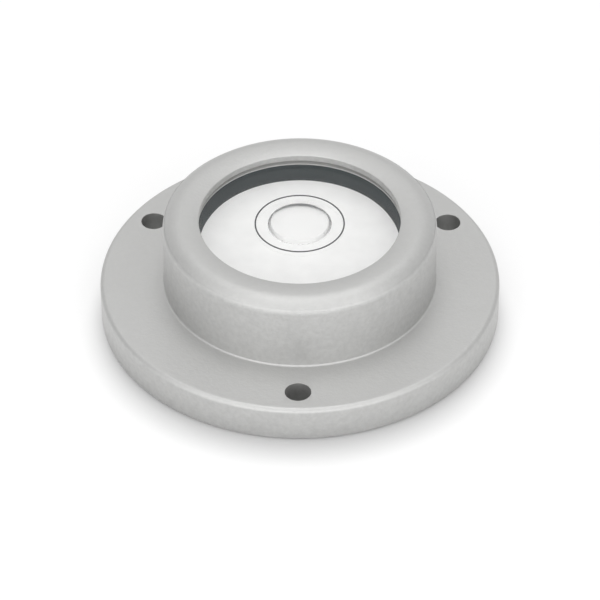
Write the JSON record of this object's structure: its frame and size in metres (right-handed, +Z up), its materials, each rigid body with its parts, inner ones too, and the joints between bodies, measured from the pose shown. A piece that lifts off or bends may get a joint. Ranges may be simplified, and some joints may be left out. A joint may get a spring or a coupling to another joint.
{
  "type": "bullseye level",
  "caption": "Round bubble level with a flat screw-down flange, a raised boss with a domed rim, a clear window over a white disc, and a dark sighting ring.",
  "frame": {"origin": "middle of the flat underside, where the level rests", "axes": "+Z up along the turning axis, towards the window; one fixing hole lies on -Y"},
  "size_m": [0.05, 0.05, 0.0145],
  "materials": {
    "housing_metal": "fine bead-blasted and clear anodised, matt",
    "plug_metal": "turned and clear anodised, satin",
    "lens_glass": "polished, clear",
    "fluid_clear": "clear spirit, colourless",
    "ring_paint": "dark paint in an engraved line",
    "gasket_rubber": "grey, matt",
    "chamber_plastic": "dark slate, moulded, matt",
    "dial_plastic": "white, matt",
    "seal_rubber": "black, matt",
    "screw_metal": "plain stainless",
    "washer_plastic": "natural, matt"
  },
  "bodies": {
    "root": {"housing": "housing_metal", "sight_lens": "lens_glass", "sighting_ring": "ring_paint", "lens_gasket": "gasket_rubber", "chamber_ring": "chamber_plastic", "dial_disc": "dial_plastic", "level_fluid": "fluid_clear", "base_plug": "plug_metal", "plug_seal": "seal_rubber", "filler_screw": "screw_metal", "filler_washer": "washer_plastic"}
  },
  "joints": []
}
